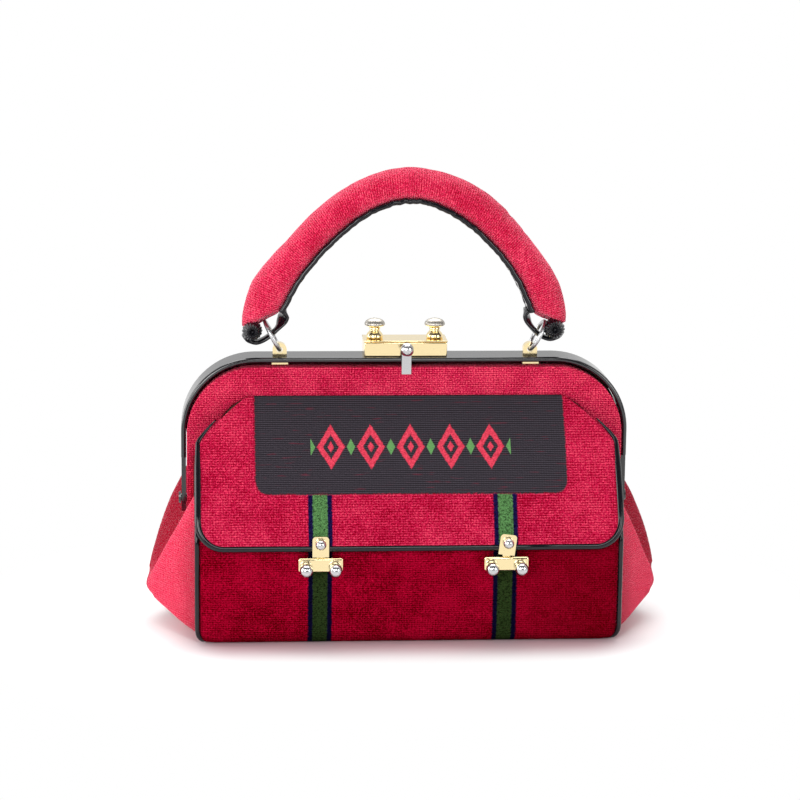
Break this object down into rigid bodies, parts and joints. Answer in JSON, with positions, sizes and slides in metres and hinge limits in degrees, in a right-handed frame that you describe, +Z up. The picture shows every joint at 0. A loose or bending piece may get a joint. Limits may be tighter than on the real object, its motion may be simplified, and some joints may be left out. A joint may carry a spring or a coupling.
{
  "type": "doctor-style frame handbag",
  "caption": "Small velvet handbag on a hinged rigid frame, with folded side gussets, a front flap held by ball catches, a sliding top clasp and an arched padded handle on rings.",
  "frame": {"origin": "middle of the flat base, on the surface that the bag stands on", "axes": "+Z up, +X to the right as seen from the front, +Y towards the back"},
  "size_m": [0.304, 0.1323, 0.2683],
  "materials": {
    "velvet": "crimson cotton velvet with a short pile",
    "lining": "brown woven lining",
    "patent_leather": "glossy black patent leather",
    "gilt_brass": "polished pale gilt",
    "nickel": "bright nickel plate"
  },
  "bodies": {
    "bag_body": {"body_panel": "velvet", "front_wall": "lining", "gusset_left": "velvet", "gusset_right": "velvet", "seam_piping_left": "patent_leather", "seam_piping_right": "patent_leather", "flap": "velvet", "flap_piping": "patent_leather", "front_frame": "velvet", "hinge_pins": "gilt_brass", "top_hasp": "nickel", "top_hasp_ball": "nickel", "flap_hasp_left": "gilt_brass", "flap_hasp_right": "gilt_brass", "flap_hasp_rivets": "nickel", "catch_box_left": "gilt_brass", "catch_box_right": "gilt_brass", "catch_springs": "nickel"},
    "rear_jaw": {"rear_wall": "velvet", "rear_frame": "patent_leather", "clasp_box": "gilt_brass", "clasp_lid": "gilt_brass", "clasp_spring": "nickel", "lug_left": "gilt_brass", "lug_right": "gilt_brass", "lug_backplates": "gilt_brass", "ring_left": "nickel", "ring_right": "nickel"},
    "handle": {"handle_grip": "velvet", "handle_strip": "patent_leather", "handle_piping_front": "patent_leather", "handle_piping_rear": "patent_leather", "handle_end_left": "patent_leather", "handle_end_right": "patent_leather"},
    "clasp_slide_left": {"clasp_bolt_left": "nickel", "clasp_knob_left": "gilt_brass"},
    "clasp_slide_right": {"clasp_bolt_right": "nickel", "clasp_knob_right": "gilt_brass"},
    "catch_slide_left_outer": {"catch_knob_left_outer": "nickel"},
    "catch_slide_left_inner": {"catch_knob_left_inner": "nickel"},
    "catch_slide_right_inner": {"catch_knob_right_inner": "nickel"},
    "catch_slide_right_outer": {"catch_knob_right_outer": "nickel"}
  },
  "joints": [
    {"name": "frame_open", "type": "hinge", "parent": "bag_body", "child": "rear_jaw", "pos_m": [0, -0.002, 0.074], "axis": [-1, 0, 0], "range_deg": [0, 50]},
    {"name": "handle_swing", "type": "hinge", "parent": "rear_jaw", "child": "handle", "pos_m": [0, -0.002, 0.17005], "axis": [1, 0, 0], "range_deg": [-60, 60]},
    {"name": "clasp_left_slide", "type": "slide", "parent": "rear_jaw", "child": "clasp_slide_left", "axis": [-1, 0, 0], "range_m": [0, 0.0025], "stiffness_N_per_m": 300},
    {"name": "clasp_right_slide", "type": "slide", "parent": "rear_jaw", "child": "clasp_slide_right", "axis": [1, 0, 0], "range_m": [0, 0.0025], "stiffness_N_per_m": 300},
    {"name": "catch_left_outer_slide", "type": "slide", "parent": "bag_body", "child": "catch_slide_left_outer", "axis": [-1, 0, 0], "range_m": [0, 0.0022], "stiffness_N_per_m": 200},
    {"name": "catch_left_inner_slide", "type": "slide", "parent": "bag_body", "child": "catch_slide_left_inner", "axis": [1, 0, 0], "range_m": [0, 0.0022], "stiffness_N_per_m": 200},
    {"name": "catch_right_inner_slide", "type": "slide", "parent": "bag_body", "child": "catch_slide_right_inner", "axis": [-1, 0, 0], "range_m": [0, 0.0022], "stiffness_N_per_m": 200},
    {"name": "catch_right_outer_slide", "type": "slide", "parent": "bag_body", "child": "catch_slide_right_outer", "axis": [1, 0, 0], "range_m": [0, 0.0022], "stiffness_N_per_m": 200}
  ]
}
